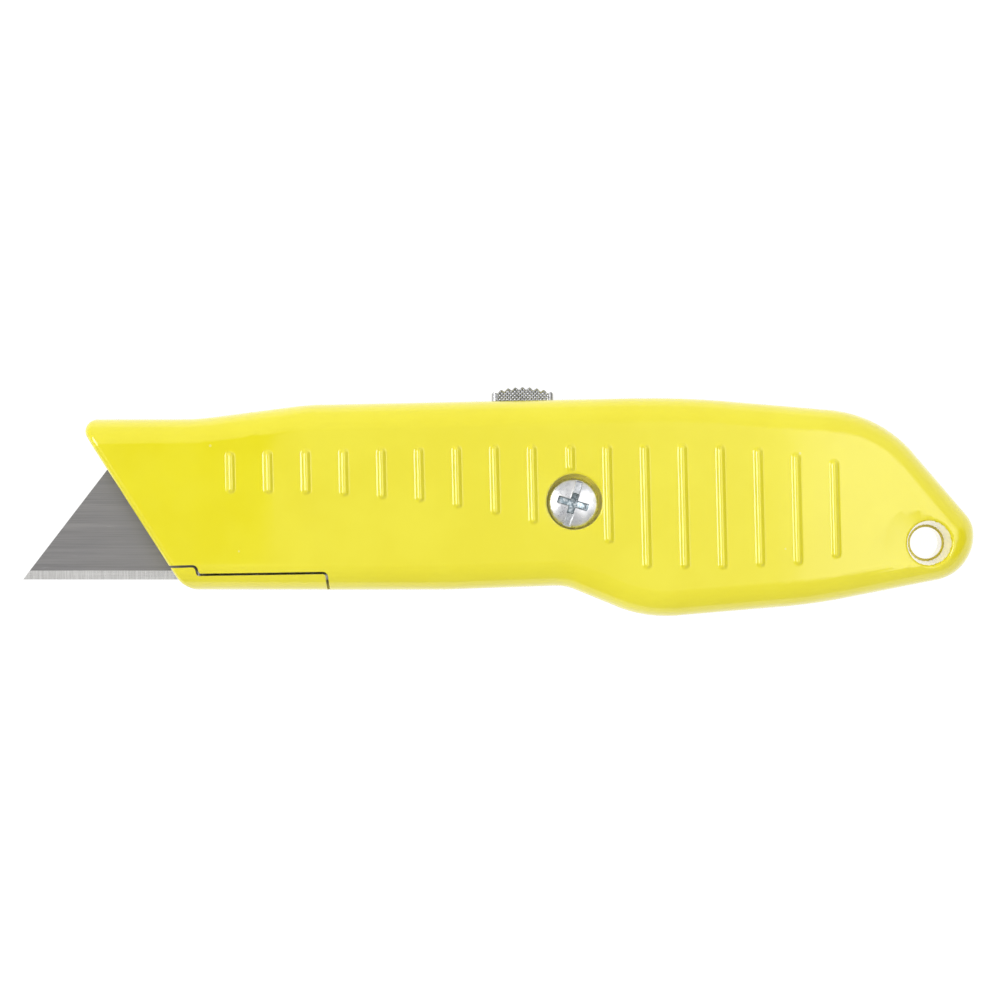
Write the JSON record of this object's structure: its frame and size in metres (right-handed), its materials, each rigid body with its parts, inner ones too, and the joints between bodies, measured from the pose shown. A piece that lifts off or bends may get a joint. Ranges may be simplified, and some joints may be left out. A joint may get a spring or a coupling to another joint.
{
  "type": "utility knife",
  "caption": "Retractable utility knife: two ribbed cast handle halves clamped by a screw, trapezoid blade on a sliding carrier with a toothed thumb button.",
  "frame": {"origin": "middle of the footprint of the knife with its blade out, lying on the ribs of its back half", "axes": "+X from the blade's tip to the lanyard hole, +Y from the cutting edge to the thumb button, +Z from the back half to the cover"},
  "size_m": [0.159, 0.0382, 0.0189],
  "materials": {
    "yellow_paint": "gloss",
    "blade_steel": "satin",
    "zinc_plate": "satin",
    "bright_steel": "satin",
    "carrier_steel": "satin",
    "spring_steel": "satin"
  },
  "bodies": {
    "handle": {"back_half": "yellow_paint", "locating_pins": "bright_steel", "spare_blade_spring": "spring_steel", "spare_blade_1": "blade_steel", "spare_blade_2": "blade_steel", "spare_blade_3": "blade_steel", "spare_blade_4": "blade_steel", "spare_blade_5": "blade_steel"},
    "cover": {"front_cover": "yellow_paint", "screw_retainer": "spring_steel"},
    "screw": {"clamp_screw": "zinc_plate"},
    "carriage": {"blade_carrier": "carrier_steel", "blade": "blade_steel", "blade_peg": "zinc_plate", "detent_leaf": "spring_steel", "leaf_rivet": "zinc_plate", "return_spring": "spring_steel"},
    "button": {"thumb_button": "bright_steel", "button_stem": "carrier_steel", "stem_pin": "bright_steel"}
  },
  "joints": [
    {"name": "carriage_slide", "type": "slide", "parent": "handle", "child": "carriage", "axis": [1, 0, 0], "range_m": [0, 0.03], "deforming": ["detent_leaf"]},
    {"name": "button_press", "type": "slide", "parent": "carriage", "child": "button", "axis": [0, -1, 0], "range_m": [0, 0.0013], "stiffness_N_per_m": 800, "springref_m": -0.001, "deforming": ["return_spring"]},
    {"name": "cover_off", "type": "slide", "parent": "handle", "child": "cover", "axis": [0, 0, 1], "range_m": [0, 0.025]},
    {"name": "screw_turn", "type": "hinge", "parent": "cover", "child": "screw", "pos_m": [0.01252, -0.00031, 0.00945], "axis": [0, 0, 1], "continuous": true}
  ]
}
